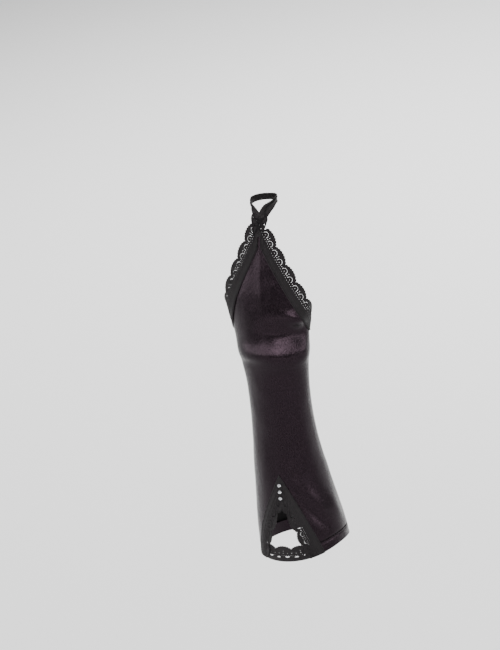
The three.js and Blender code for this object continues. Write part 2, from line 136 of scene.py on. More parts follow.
# The band of the finger loop: its lower and upper edge at each angle from the back of the finger.
Band = namedtuple("Band", "angle low high")
LOOP = [
    Band(0, 0.2800, 0.2874),
    Band(15, 0.2806, 0.2911),
    Band(30, 0.2826, 0.2934),
    Band(50, 0.2864, 0.2946),
    Band(70, 0.2892, 0.2956),
    Band(90, 0.2914, 0.2968),
    Band(180, 0.2910, 0.2960),
]
LOOP_X = 0.0055
LOOP_Y = 0.0085
LOOP_HALF_WIDTH = 0.0095
LOOP_HALF_DEPTH = 0.0106
STEM_BOTTOM = 0.268
STEM_TOP = 0.2865
STEM_FOOT_X = 0.0025
STEM_FOOT_HALF_WIDTH = 0.0034
STEM_HALF_WIDTH = 0.0068
STEM_TOP_X = 0.0047
STEM_WIDENS_BY = 0.7

STONES = ("stone_1", "stone_2", "stone_3")


# The satin glove's measures: where a place on it is in the frame.
def between(start, end, share):
    return start + (end - start) * share


def bell(x):
    """1 in the middle, and fading out on both sides."""
    return math.exp(-(x**2))


def smooth_row(table, x):
    """The row of a table at x, its first column, on a smooth curve through the rows."""
    last = len(table) - 1
    i = min(max(bisect_right([row[0] for row in table], x) - 1, 0), last - 1)
    before, here, there, after = (table[min(max(k, 0), last)] for k in range(i - 1, i + 3))
    span = there[0] - here[0]
    t = (x - here[0]) / span
    ease = t * t * (3 - 2 * t)
    values = []
    for a, b, c, d in zip(before, here, there, after):
        slope_here = (c - a) / (there[0] - before[0])
        slope_there = (d - b) / (after[0] - here[0])
        bend = t * (1 - t) * span * ((1 - t) * slope_here - t * slope_there)
        values.append(b + (c - b) * ease + bend)
    return type(here)(*values)


@lru_cache(maxsize=None)
def arm_at(z):
    return smooth_row(ARM, z)


def turn_from(middle, turn):
    """The turn between two places round the arm, from -180 to 180."""
    return (turn - middle + 180) % 360 - 180


def folds_at(turn, z):
    total = 0.0
    for fold in FOLDS:
        away = turn_from(fold.turn, turn)
        along = (z - fold.z - fold.climb * away) / fold.reach
        total += fold.rise * math.exp(-(along**2) - (away / fold.spread) ** 2)
    return total


def skin(turn, z):
    """A point on the skin inside the glove."""
    arm = arm_at(z)
    angle = math.radians(turn + arm.twist)
    fade = min(max(1 - z / HEM_RISE_FADES_AT, 0.0), 1.2)
    around = turn_from(HEM_RISE_TURN, turn) / HEM_RISE_SPREAD
    x = arm.mid_x + arm.half_width * math.sin(angle)
    y = arm.mid_y - arm.half_depth * math.cos(angle)
    return Vector((x, y, z + HEM_RISE * bell(around) * fade**2))


def directions(turn, z):
    """The skin's directions at a place: round it by a degree, along it by a millimetre, and out."""
    aside = skin(turn + 0.5, z) - skin(turn - 0.5, z)
    along = skin(turn, z + MM / 2) - skin(turn, z - MM / 2)
    return aside, along, aside.cross(along).normalized()


def on_arm(turn, z, height):
    """A point at a height over the skin, on the folds of the satin."""
    return skin(turn, z) + directions(turn, z)[2] * (height + folds_at(turn, z))


@lru_cache(maxsize=None)
def round_hand(turn):
    """How far round the hand a turn is from the middle of its back."""
    steps = max(1, math.ceil(abs(turn)))
    step = math.radians(abs(turn)) / steps
    middles = [(k + 0.5) * step for k in range(steps)]
    return sum(
        step * math.hypot(HAND_HALF_WIDTH * math.cos(a), HAND_HALF_DEPTH * math.sin(a)) for a in middles
    )


def hand_edge(turn):
    """The z of the satin's edge at the hand: two edges down from the point, then level round the palm."""
    away = round_hand(turn_from(0, turn))
    root = math.sqrt(EDGE_SPREAD**2 + 4 * EDGE_FLARE * away)
    below = (root - EDGE_SPREAD) / (2 * EDGE_FLARE)
    over = (POINT_Z - below - PALM_Z) / PALM_BLEND
    return PALM_Z + PALM_BLEND * math.log(1 + math.exp(over))


# The keyhole is drawn flat, with x across it from the middle line, and wrapped on the arm.
NOTCH_HALF_WIDTH = math.radians(KEYHOLE_TURN) * ARM[0].half_width
NOTCH_CHORD = math.hypot(NOTCH_HALF_WIDTH, KEYHOLE_TOP)
NOTCH_LEAN = math.asin(NOTCH_CHORD / 2 / KEYHOLE_SIDE_RADIUS)
NOTCH_TOP_ANGLE = math.atan2(NOTCH_HALF_WIDTH, KEYHOLE_TOP) + NOTCH_LEAN
NOTCH_MID_X = KEYHOLE_SIDE_RADIUS * math.cos(NOTCH_TOP_ANGLE)
NOTCH_MID_Z = KEYHOLE_TOP - KEYHOLE_SIDE_RADIUS * math.sin(NOTCH_TOP_ANGLE)


def notch_point(angle, w):
    radius = KEYHOLE_SIDE_RADIUS - w
    return radius * math.cos(angle) - NOTCH_MID_X, NOTCH_MID_Z + radius * math.sin(angle)


def notch_angle_on_middle(w):
    return math.acos(NOTCH_MID_X / (KEYHOLE_SIDE_RADIUS - w))


def notch_angle_at(z, w):
    return math.asin((z - NOTCH_MID_Z) / (KEYHOLE_SIDE_RADIUS - w))


def notch_half_width(z):
    return notch_point(notch_angle_at(z, 0), 0)[0]


def notch_turn(x):
    return KEYHOLE_TURN * x / NOTCH_HALF_WIDTH


def notch_edge(turn):
    """The z of the satin's edge at a turn inside the notch."""
    x = NOTCH_HALF_WIDTH * abs(turn_from(0, turn)) / KEYHOLE_TURN
    angle = math.acos(min((x + NOTCH_MID_X) / KEYHOLE_SIDE_RADIUS, 1.0))
    return notch_point(angle, 0)[1]


class EdgeLine:
    """The satin's edge round the hand, walked in metres from the point towards the thumb."""

    def __init__(self):
        self.places = [(turn, hand_edge(turn)) for turn in range(361)]
        self.lengths = [0.0]
        for here, there in zip(self.places, self.places[1:]):
            self.lengths.append(self.lengths[-1] + (skin(*there) - skin(*here)).length)
        self.total = self.lengths[-1]

    def at(self, s):
        i = min(max(bisect_right(self.lengths, s) - 1, 0), len(self.places) - 2)
        share = (s - self.lengths[i]) / (self.lengths[i + 1] - self.lengths[i])
        (turn, z), (next_turn, next_z) = self.places[i], self.places[i + 1]
        return between(turn, next_turn, share), between(z, next_z, share)

    @lru_cache(maxsize=None)
    def step_aside(self, s):
        """The place at s, and the turn and z that a metre to its left adds, seen from outside."""
        turn, z = self.at(s)
        aside, along, out = directions(turn, z)
        left = out.cross(skin(*self.at(s + MM)) - skin(*self.at(s - MM))).normalized()
        squares = aside.length_squared * along.length_squared - aside.dot(along) ** 2
        turns = left.dot(aside) * along.length_squared - left.dot(along) * aside.dot(along)
        rises = left.dot(along) * aside.length_squared - left.dot(aside) * aside.dot(along)
        return turn, z, turns / squares, rises / squares * MM

    def beside(self, s, w):
        turn, z, turns, rises = self.step_aside(s)
        return turn + w * turns, z + w * rises


# Sizes and colours that a user would change.
class SatinSettings(bpy.types.PropertyGroup):
    """The satin of the sleeve and its hem"""

    height: bpy.props.FloatProperty(
        name="Height", description="The satin's outer face over the skin", default=0.001, unit="LENGTH"
    )
    wall: bpy.props.FloatProperty(
        name="Wall", description="Thickness of the satin", default=0.0005, unit="LENGTH"
    )
    columns: bpy.props.IntProperty(
        name="Columns", description="Steps of the mesh round the sleeve", default=184, min=40
    )
    rows: bpy.props.IntProperty(
        name="Rows", description="Steps of the mesh along the sleeve", default=150, min=30
    )
    drag: bpy.props.FloatProperty(
        name="Drag", description="Height of the cloth's soft uneven drag", default=0.0004, unit="LENGTH"
    )
    colour: bpy.props.FloatVectorProperty(
        name="Colour", description="Right side", default=(0.0011, 0.0008, 0.0010), subtype="COLOR"
    )
    colour_light: bpy.props.FloatVectorProperty(
        name="Lighter", description="Lighter threads", default=(0.0046, 0.0035, 0.0042), subtype="COLOR"
    )
    colour_reverse: bpy.props.FloatVectorProperty(
        name="Reverse", description="Matt wrong side", default=(0.0050, 0.0045, 0.0048), subtype="COLOR"
    )


class LaceSettings(bpy.types.PropertyGroup):
    """The scalloped lace of the hand opening, the keyhole and the loop"""

    height: bpy.props.FloatProperty(
        name="Height", description="The lace's ground over the skin", default=0.0017, unit="LENGTH"
    )
    wall: bpy.props.FloatProperty(
        name="Wall", description="Thickness of the lace", default=0.0004, unit="LENGTH"
    )
    sewn: bpy.props.FloatProperty(
        name="Sewn", description="Width that lies on the satin", default=0.006, unit="LENGTH"
    )
    reach: bpy.props.FloatProperty(
        name="Reach", description="From the satin's edge to a scallop's tip", default=0.0083, unit="LENGTH"
    )
    valley: bpy.props.FloatProperty(
        name="Valley", description="From the satin's edge to a valley", default=0.0053, unit="LENGTH"
    )
    pitch: bpy.props.FloatProperty(
        name="Pitch", description="Width of a scallop", default=0.016, unit="LENGTH"
    )
    picot: bpy.props.FloatProperty(
        name="Picot", description="Height of the tiny loops on the free edge", default=0.0007, unit="LENGTH"
    )
    relief: bpy.props.FloatProperty(
        name="Relief", description="Height of the outlining cord", default=0.0003, unit="LENGTH"
    )
    steps: bpy.props.IntProperty(
        name="Steps", description="Steps of the mesh along a scallop", default=48, min=16
    )
    rows: bpy.props.IntProperty(
        name="Rows", description="Steps of the mesh across the lace", default=40, min=12
    )
    colour: bpy.props.FloatVectorProperty(
        name="Colour", description="Lace threads", default=(0.0014, 0.0010, 0.0012), subtype="COLOR"
    )


class StitchSettings(bpy.types.PropertyGroup):
    """The machine stitches"""

    length: bpy.props.FloatProperty(
        name="Length", description="Length of a stitch", default=0.0021, unit="LENGTH"
    )
    space: bpy.props.FloatProperty(
        name="Space", description="Gap between stitches", default=0.0006, unit="LENGTH"
    )
    radius: bpy.props.FloatProperty(
        name="Radius", description="Radius of the thread", default=0.00016, unit="LENGTH"
    )
    colour: bpy.props.FloatVectorProperty(
        name="Colour", description="Thread", default=(0.0012, 0.0010, 0.0013), subtype="COLOR"
    )


class StoneSettings(bpy.types.PropertyGroup):
    """The cut stones over the keyhole"""

    radius: bpy.props.FloatProperty(
        name="Radius", description="Radius of a stone's girdle", default=0.0015, unit="LENGTH"
    )
    table: bpy.props.FloatProperty(
        name="Table", description="Radius of its flat top", default=0.00082, unit="LENGTH"
    )
    height: bpy.props.FloatProperty(
        name="Height", description="From its back to its table", default=0.0013, unit="LENGTH"
    )
    colour: bpy.props.FloatVectorProperty(
        name="Colour", description="Foil-backed crystal", default=(0.93, 0.95, 0.98), subtype="COLOR"
    )


class StageSettings(bpy.types.PropertyGroup):
    """The floor, the light and the camera"""

    floor_drop: bpy.props.FloatProperty(
        name="Floor drop", description="Floor under the elbow end", default=0.22, unit="LENGTH"
    )
    floor_size: bpy.props.FloatProperty(
        name="Floor size", description="Width of the floor", default=24.0, unit="LENGTH"
    )
    floor_colour: bpy.props.FloatVectorProperty(
        name="Floor colour", description="Pale floor", default=(0.9, 0.9, 0.9), subtype="COLOR"
    )
    sky_strength: bpy.props.FloatProperty(
        name="Sky", description="Strength of the even light", default=0.35, min=0
    )
    distance: bpy.props.FloatProperty(
        name="Camera distance", description="From the glove's middle", default=2.0, unit="LENGTH"
    )
    azimuth: bpy.props.FloatProperty(
        name="Azimuth",
        description="Camera's angle round the glove",
        default=math.radians(27),
        unit="ROTATION",
    )
    elevation: bpy.props.FloatProperty(
        name="Elevation",
        description="Camera's angle over the horizon",
        default=math.radians(19),
        unit="ROTATION",
    )
    roll: bpy.props.FloatProperty(
        name="Roll", description="Camera's tilt", default=math.radians(9), unit="ROTATION"
    )


# Materials.
def new_material(name):
    """The material of that name, and its shader if the material is new and still has to be filled in."""
    material = bpy.data.materials.get(name)
    if material:
        return material, None
    material = bpy.data.materials.new(name)
    material.use_nodes = True
    return material, material.node_tree.nodes["Principled BSDF"]


def link(material, from_socket, to_socket):
    material.node_tree.links.new(from_socket, to_socket)


def cloth_coordinates(material, scale):
    """The cloth's own map in metres, scaled so that one unit is one repeat of a pattern."""
    nodes = material.node_tree.nodes
    coordinates = nodes.new("ShaderNodeTexCoord")
    mapping = nodes.new("ShaderNodeMapping")
    mapping.inputs["Scale"].default_value = scale
    link(material, coordinates.outputs["UV"], mapping.inputs["Vector"])
    return mapping.outputs["Vector"]


def noise_texture(material, scale, detail):
    texture = material.node_tree.nodes.new("ShaderNodeTexNoise")
    texture.inputs["Scale"].default_value = 1.0
    texture.inputs["Detail"].default_value = detail
    link(material, cloth_coordinates(material, scale), texture.inputs["Vector"])
    return texture.outputs["Fac"]


def wave_texture(material, scale, direction, distortion):
    texture = material.node_tree.nodes.new("ShaderNodeTexWave")
    texture.bands_direction = direction
    texture.inputs["Scale"].default_value = 1.0
    texture.inputs["Distortion"].default_value = distortion
    link(material, cloth_coordinates(material, scale), texture.inputs["Vector"])
    return texture.outputs["Fac"]


def object_texture(material, kind, scale):
    """A texture that reads the place in metres."""
    nodes = material.node_tree.nodes
    texture = nodes.new(kind)
    texture.inputs["Scale"].default_value = scale
    link(material, nodes.new("ShaderNodeTexCoord").outputs["Object"], texture.inputs["Vector"])
    return texture


def times(factor, colour):
    return tuple(factor * part for part in colour)


def ramp(material, factor, stops):
    """A colour ramp of (position, colour) stops."""
    node = material.node_tree.nodes.new("ShaderNodeValToRGB")
    elements = node.color_ramp.elements
    while len(elements) < len(stops):
        elements.new(0.5)
    for element, (position, colour) in zip(elements, stops):
        element.position = position
        element.color = (*colour, 1.0)
    link(material, factor, node.inputs["Fac"])
    return node.outputs["Color"]


def remap(material, factor, low, high):
    """A factor from 0 to 1 spread from low to high."""
    node = material.node_tree.nodes.new("ShaderNodeMapRange")
    node.inputs["To Min"].default_value = low
    node.inputs["To Max"].default_value = high
    link(material, factor, node.inputs["Value"])
    return node.outputs["Result"]


def added(material, first, second):
    node = material.node_tree.nodes.new("ShaderNodeMath")
    node.operation = "ADD"
    link(material, first, node.inputs[0])
    link(material, second, node.inputs[1])
    return node.outputs["Value"]


def bump(material, height, strength, distance):
    node = material.node_tree.nodes.new("ShaderNodeBump")
    node.inputs["Strength"].default_value = strength
    node.inputs["Distance"].default_value = distance
    link(material, height, node.inputs["Height"])
    return node.outputs["Normal"]


def satin_right_side(satin):
    """Black satin: long floats with a soft grainy lustre."""
    material, shader = new_material("black_satin")
    if not shader:
        return material
    grain = noise_texture(material, (620, 480, 1), 5.0)
    colour = ramp(material, grain, [(0.36, satin.colour), (0.62, satin.colour_light)])
    link(material, colour, shader.inputs["Base Color"])
    mottle = noise_texture(material, (560, 420, 1), 4.0)
    lustre = ramp(material, mottle, [(0.35, (0.16, 0.16, 0.16)), (0.65, (0.25, 0.25, 0.25))])
    link(material, lustre, shader.inputs["Roughness"])
    shader.inputs["Specular IOR Level"].default_value = 0.14
    shader.inputs["Specular Tint"].default_value = (1.0, 0.68, 0.88, 1.0)
    floats = wave_texture(material, (900, 120, 1), "X", 1.6)
    height = added(material, remap(material, floats, 0.0, 0.12), remap(material, grain, 0.0, 1.0))
    link(material, bump(material, height, 1.0, 0.00013), shader.inputs["Normal"])
    return material


def satin_wrong_side(satin):
    """The matt reverse of the satin."""
    material, shader = new_material("satin_reverse")
    if not shader:
        return material
    grain = noise_texture(material, (900, 900, 1), 4.0)
    dark, light = satin.colour_reverse, times(1.7, satin.colour_reverse)
    colour = ramp(material, grain, [(0.25, dark), (0.75, light)])
    link(material, colour, shader.inputs["Base Color"])
    link(material, remap(material, grain, 0.78, 0.95), shader.inputs["Roughness"])
    shader.inputs["Specular IOR Level"].default_value = 0.12
    knit = wave_texture(material, (700, 700, 1), "DIAGONAL", 0.8)
    link(material, bump(material, knit, 0.4, 0.00012), shader.inputs["Normal"])
    return material


def lace_threads(lace):
    """Dull black lace threads, ribbed across the strip."""
    material, shader = new_material("lace_threads")
    if not shader:
        return material
    grain = noise_texture(material, (760, 760, 1), 4.0)
    rows = wave_texture(material, (40, 240, 1), "Y", 2.0)
    pattern = added(material, remap(material, grain, 0.0, 0.7), remap(material, rows, 0.0, 0.3))
    colour = ramp(material, pattern, [(0.34, lace.colour), (0.74, times(7.5, lace.colour))])
    link(material, colour, shader.inputs["Base Color"])
    link(material, remap(material, grain, 0.40, 0.65), shader.inputs["Roughness"])
    shader.inputs["Specular IOR Level"].default_value = 0.14
    shader.inputs["Sheen Weight"].default_value = 0.01
    shader.inputs["Sheen Roughness"].default_value = 0.5
    ribs = wave_texture(material, (620, 40, 1), "X", 2.2)
    courses = wave_texture(material, (60, 430, 1), "Y", 1.5)
    height = added(material, remap(material, ribs, 0.0, 0.7), remap(material, courses, 0.0, 0.5))
    link(material, bump(material, height, 0.6, 0.0002), shader.inputs["Normal"])
    return material


def stitch_thread(stitches):
    """Dull twisted thread."""
    material, shader = new_material("stitch_thread")
    if not shader:
        return material
    twist = object_texture(material, "ShaderNodeTexNoise", 3000).outputs["Fac"]
    colour = ramp(material, twist, [(0.3, stitches.colour), (0.7, times(3.5, stitches.colour))])
    link(material, colour, shader.inputs["Base Color"])
    shader.inputs["Roughness"].default_value = 0.55
    shader.inputs["Specular IOR Level"].default_value = 0.12
    return material


def cut_crystal(stones):
    """Foil-backed crystal: each facet takes its own silver from the foil."""
    material, shader = new_material("cut_crystal")
    if not shader:
        return material
    foil = object_texture(material, "ShaderNodeTexVoronoi", 900).outputs["Distance"]
    colour = ramp(material, foil, [(0.1, stones.colour), (0.8, times(0.62, stones.colour))])
    link(material, colour, shader.inputs["Base Color"])
    shader.inputs["Metallic"].default_value = 0.72
    shader.inputs["Roughness"].default_value = 0.06
    shader.inputs["Coat Weight"].default_value = 1.0
    shader.inputs["Coat Roughness"].default_value = 0.02
    return material


def pale_floor(stage):
    """A matt floor with hardly a cloud in its paleness."""
    material, shader = new_material("pale_floor")
    if not shader:
        return material
    cloud = object_texture(material, "ShaderNodeTexNoise", 0.6).outputs["Fac"]
    shade = times(0.985, stage.floor_colour)
    colour = ramp(material, cloud, [(0.3, shade), (0.7, stage.floor_colour)])
    link(material, colour, shader.inputs["Base Color"])
    shader.inputs["Roughness"].default_value = 0.9
    return material


# Mesh making.
def unit_grid(columns, rows):
    """A flat grid with x and y from 0 to 1."""
    bm = bmesh.new()
    bmesh.ops.create_grid(bm, x_segments=columns, y_segments=rows, size=0.5)
    bmesh.ops.translate(bm, verts=bm.verts, vec=(0.5, 0.5, 0.0))
    return bm


def map_cloth(bm, place):
    """Gives each corner of each face the map coordinates that place(vertex) says, in metres."""
    layer = bm.loops.layers.uv.new("cloth")
    for face in bm.faces:
        for loop in face.loops:
            loop[layer].uv = place(loop.vert)


def on_glove(name, mesh, materials, smooth=True):
    """The mesh as an object in these materials that rides on the glove."""
    mesh.materials.clear()
    for material in materials:
        mesh.materials.append(material)
    mesh.polygons.foreach_set("use_smooth", [smooth] * len(mesh.polygons))
    piece = bpy.data.objects.new(name, mesh)
    bpy.context.scene.collection.objects.link(piece)
    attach(piece, "root")
    return piece


def finished(bm, name, materials, wall=None, smooth=True):
    """The bmesh as a piece of the glove, given a wall towards the skin if one is named."""
    mesh = bpy.data.meshes.new(name)
    bm.to_mesh(mesh)
    bm.free()
    piece = on_glove(name, mesh, materials, smooth)
    if wall:
        solidify = piece.modifiers.new("wall", "SOLIDIFY")
        solidify.thickness = wall
        solidify.offset = -1
        solidify.material_offset = 1 if len(materials) > 1 else 0
    return piece


def threads(name, runs, radius, material):
    """One piece of many threads, each through its own few points."""
    curve = bpy.data.curves.new(name, "CURVE")
    curve.dimensions = "3D"
    curve.bevel_depth = radius
    curve.bevel_resolution = 1
    curve.use_fill_caps = True
    for run in runs:
        spline = curve.splines.new("POLY")
        spline.points.add(len(run) - 1)
        for point, place in zip(spline.points, run):
            point.co = (*place, 1.0)
    holder = bpy.data.objects.new(name, curve)
    mesh = bpy.data.meshes.new_from_object(holder)
    bpy.data.objects.remove(holder)
    bpy.data.curves.remove(curve)
    mesh.name = name
    return on_glove(name, mesh, [material])


# A stitch from end to end: shares of its length, and heights in radii of its thread.
STITCH_ON_SATIN = ((0.0, -0.5), (0.25, 1.1), (0.75, 1.1), (1.0, -0.5))
STITCH_ON_LACE = ((0.0, -0.5), (0.25, 1.0), (0.75, 1.0), (1.0, -0.5))


def stitches_along(stitches, length, place, bow):
    """Stitches along a line, where place(s, height) is a point on it. Each has its middle standing up."""
    step = stitches.length + stitches.space
    return [
        [place(k * step + share * stitches.length, height * stitches.radius) for share, height in bow]
        for k in range(int(length / step))
    ]


# The sleeve and its hem. The sleeve's foot is tucked into the folded hem.
CLOTH_WIDTH = 0.21
CLOTH_LENGTH = 0.26
SLEEVE_FOOT = HEM_WIDTH + GAP
TUCK_DEPTH = 0.0006
TUCK_LENGTH = 0.0016
TUCK_ROWS = 3
HEM_FOLD = 0.0006
HEM_ROWS = 40
HEM_FACE_ENDS = 0.4
HEM_BACK_STARTS = 0.6
HEM_LINES = (0.0090, HEM_WIDTH + GAP / 2)
LINE_DENT = 0.00028
LINE_DENT_REACH = 0.0006
LEVELS_START = 0.056
LEVELS_END = 0.184
ROWS_BELOW = 0.20
ROWS_TO_PALM = 0.70
DRAG_SIZE = (0.020, 0.020, 0.034)
DRAG_OCTAVES = 3
HEM_STITCH_START_TURN = 1
PALM_SEAM_TURN = 176
PALM_SEAM_START = SLEEVE_FOOT + 0.002
PALM_SEAM_LENGTH = PALM_Z - 0.008 - SLEEVE_FOOT

# The columns crowd so that one of them falls on each corner of the keyhole at the sleeve's foot.
KEYHOLE_CORNER_COLUMN = 7 / 23
KEYHOLE_CORNER_TURN = notch_turn(notch_half_width(SLEEVE_FOOT))
SLEEVE_CROWDING = math.log(KEYHOLE_CORNER_TURN / 180) / math.log(KEYHOLE_CORNER_COLUMN)


def sleeve_turn(share):
    """The turn at a share of the way round, with steps closest on the back of the arm."""
    k = 2 * share - 1
    return math.copysign(180 * abs(k) ** SLEEVE_CROWDING, k)


def sleeve_z(turn, share):
    """The z at a share of the way up the sleeve, from the hem or the keyhole to the hand's edge."""
    if share < ROWS_BELOW:
        foot = max(notch_edge(turn), SLEEVE_FOOT)
        return between(foot, LEVELS_START, share / ROWS_BELOW)
    if share < ROWS_TO_PALM:
        return between(LEVELS_START, LEVELS_END, (share - ROWS_BELOW) / (ROWS_TO_PALM - ROWS_BELOW))
    return between(LEVELS_END, hand_edge(turn), (share - ROWS_TO_PALM) / (1 - ROWS_TO_PALM))


def line_dents(z):
    """How far the rows of machine stitches pull the satin in."""
    return LINE_DENT * sum(bell((z - line) / LINE_DENT_REACH) for line in HEM_LINES)


def drag_at(turn, z, drag):
    """Soft uneven drag of the stretched cloth."""
    place = skin(turn, z)
    scaled = Vector(c / size for c, size in zip(place, DRAG_SIZE))
    return drag * noise.fractal(scaled, 1.0, 2.0, DRAG_OCTAVES)


def make_satin_sleeve(satin):
    """A grid wrapped round the arm from the palm's side, with its first rows tucked into the hem."""
    bm = unit_grid(satin.columns, satin.rows)
    map_cloth(bm, lambda vert: (vert.co.x * CLOTH_WIDTH, vert.co.y * CLOTH_LENGTH))
    tuck = TUCK_ROWS / satin.rows
    for vert in bm.verts:
        turn = sleeve_turn(vert.co.x)
        share = vert.co.y - tuck
        z = sleeve_z(turn, max(share, 0.0) / (1 - tuck))
        height = satin.height - line_dents(z) + drag_at(turn, z, satin.drag)
        if share < -0.5 / satin.rows and z == SLEEVE_FOOT:
            z += TUCK_LENGTH * (share * satin.rows + 1) / (TUCK_ROWS - 1) - GAP
            height -= TUCK_DEPTH
        vert.co = on_arm(turn, z, height)
    bmesh.ops.remove_doubles(bm, verts=bm.verts, dist=1e-6)
    materials = [satin_right_side(satin), satin_wrong_side(satin)]
    return finished(bm, "satin_sleeve", materials, satin.wall)


def hem_profile(share, satin):
    """z and height down the hem's face, round its fold and up behind it."""
    inner = -HEM_FOLD
    radius = (satin.height - inner) / 2
    if share < HEM_FACE_ENDS:
        z = between(HEM_WIDTH, radius, share / HEM_FACE_ENDS)
        return z, satin.height - line_dents(z)
    if share > HEM_BACK_STARTS:
        return between(radius, HEM_WIDTH, (share - HEM_BACK_STARTS) / (1 - HEM_BACK_STARTS)), inner
    angle = math.pi * (share - HEM_FACE_ENDS) / (HEM_BACK_STARTS - HEM_FACE_ENDS)
    return radius * (1 - math.sin(angle)), (satin.height + inner) / 2 + radius * math.cos(angle)


def make_satin_hem(satin):
    """The folded hem, from one corner of the keyhole round to the other."""
    bm = unit_grid(satin.columns, HEM_ROWS)
    map_cloth(bm, lambda vert: (vert.co.x * CLOTH_WIDTH, vert.co.y * 2 * HEM_WIDTH))
    for vert in bm.verts:
        z, height = hem_profile(vert.co.y, satin)
        start = notch_turn(notch_half_width(z))
        turn = between(start, 360 - start, vert.co.x)
        vert.co = on_arm(turn, z, height + drag_at(turn, z, satin.drag))
    bmesh.ops.reverse_faces(bm, faces=bm.faces)
    materials = [satin_right_side(satin), satin_wrong_side(satin)]
    return finished(bm, "satin_hem", materials, satin.wall)


def make_hem_stitches(satin, stitches):
    """The two rows of machine stitches that hold the hem."""
    runs = []
    per_metre = math.degrees(1 / ARM[0].half_width)
    for line in HEM_LINES:
        start = notch_turn(notch_half_width(line)) + HEM_STITCH_START_TURN

        def place(s, height, line=line, start=start):
            turn = start + s * per_metre
            base = satin.height - line_dents(line) + drag_at(turn, line, satin.drag)
            return on_arm(turn, line, base + height)

        runs += stitches_along(stitches, (360 - 2 * start) / per_metre, place, STITCH_ON_SATIN)
    return threads("hem_stitches", runs, stitches.radius, stitch_thread(stitches))


def make_palm_seam(satin, stitches):
    """The row of stitches of the sleeve's lengthwise seam, on the palm's side."""

    def place(s, height):
        z = PALM_SEAM_START + s
        base = satin.height + drag_at(PALM_SEAM_TURN, z, satin.drag)
        return on_arm(PALM_SEAM_TURN, z, base + height)

    runs = stitches_along(stitches, PALM_SEAM_LENGTH, place, STITCH_ON_SATIN)
    return threads("palm_seam", runs, stitches.radius, stitch_thread(stitches))


# The lace's pattern. Along a scallop, places are metres from its middle. Out from the satin's edge they
# are metres called w, which is under zero on the sewn part.
PICOTS = 7
CROWN_ROUNDNESS = 0.6
ROSETTE_W = 0.0026
CRESCENT_RADIUS = 0.0024
CRESCENT_HALF = 0.00027
CRESCENT_FOOT = 0.0006
EYE_RADIUS = 0.00035
NET_PITCH = 0.0020
NET_W = 0.0008
NET_RADIUS = 0.00030
Hole = namedtuple("Hole", "along w radius")
LEAF_HOLES = (Hole(0.0, 0.0027, 0.0004), Hole(0.0, 0.0045, 0.0004), Hole(0.008, 0.0028, 0.0004))
SLIT_W = -0.0004
SLIT_RADIUS = 0.0060
SLIT_HALF_HEIGHT = 0.00058
SLIT_LEAN = 0.22

# The lace's mesh: the share of its rows on the sewn part, how near a gap a corner moves on to it, the
# step and least value of a slope, how far a cord spreads and how far the lace sinks beside its ground.
HEADER_ROWS = 0.22
SNAP = 0.00018
SLOPE_STEP = 0.00002
LEAST_SLOPE = 0.5
CORD_REACH = 0.00036
FREE_DROP = 0.0004
SEWN_DROP = 0.00022
DROP_REACH = 0.004


def scallop_edge(lace, phase):
    """How far the free edge is from the satin's edge at a phase of the scallop, from valley to valley."""
    crown = abs(math.sin(math.pi * phase)) ** CROWN_ROUNDNESS
    picots = abs(math.sin(math.pi * PICOTS * phase))
    return between(lace.valley, lace.reach, crown) + lace.picot * picots


def from_middle(lace, phase):
    """How far along its scallop a place is from the middle."""
    return ((phase % 1.0) - 0.5) * lace.pitch


def from_rosette(lace, phase, w):
    """How far a place is from the nearer of its scallop's two rosettes."""
    return math.hypot(abs(from_middle(lace, phase)) - lace.pitch / 4, w - ROSETTE_W)


def small_gap_distance(lace, phase, w):
    """How far a place in the lace is from the nearest small gap, which is under zero inside it."""
    along = from_middle(lace, phase)
    eye = from_rosette(lace, phase, w) - EYE_RADIUS
    in_net = ((along / NET_PITCH) % 1.0 - 0.5) * NET_PITCH
    net = math.hypot(in_net, w - NET_W) - NET_RADIUS
    leaves = min(math.hypot(abs(along) - hole.along, w - hole.w) - hole.radius for hole in LEAF_HOLES)
    return min(eye, net, leaves)


def gap_distance(lace, phase, w):
    """The same with the crescent round each rosette."""
    from_ring = abs(from_rosette(lace, phase, w) - CRESCENT_RADIUS) - CRESCENT_HALF
    crescent = max(from_ring, ROSETTE_W - CRESCENT_FOOT - w)
    return min(crescent, small_gap_distance(lace, phase, w))


def bridge_gap_distance(lace, phase, w):
    """The bridge's gaps: the small ones, and a row of leaning, leaf-shaped slits in its header."""
    along = from_middle(lace, phase)
    from_slit = math.copysign(abs(along) - lace.pitch / 4, along)
    above = w - SLIT_W - SLIT_LEAN * from_slit
    slit = math.hypot(from_slit, abs(above) + SLIT_RADIUS - SLIT_HALF_HEIGHT) - SLIT_RADIUS
    return min(slit, small_gap_distance(lace, phase, w))


def snapped(distance, phase, w, pitch):
    """A place moved on to the nearest gap's outline if it is close, and which side of it the place is."""
    here = distance(phase, w)
    if abs(here) > SNAP:
        return phase, w, math.copysign(1, here)
    step = SLOPE_STEP / pitch
    slope_s = (distance(phase + step, w) - distance(phase - step, w)) / (2 * SLOPE_STEP)
    slope_w = (distance(phase, w + SLOPE_STEP) - distance(phase, w - SLOPE_STEP)) / (2 * SLOPE_STEP)
    squares = max(slope_s**2 + slope_w**2, LEAST_SLOPE**2)
    return phase - here * slope_s / squares / pitch, w - here * slope_w / squares, 0


def lace_drop(w):
    """How far the lace sinks under its ground: past the satin's edge, and on the outer sewn part."""
    free = min(max(w / DROP_REACH, 0.0), 1.0)
    sewn = min(max(-w / DROP_REACH - 0.5, 0.0), 1.0)
    return FREE_DROP * free + SEWN_DROP * sewn


# A strip of lace: how many scallops it has, where a place of it lies at a height over the skin, how far
# a place is from a gap and how wide its sewn part is. Phases count scallops along the strip.
Strip = namedtuple("Strip", "scallops place distance sewn_at")


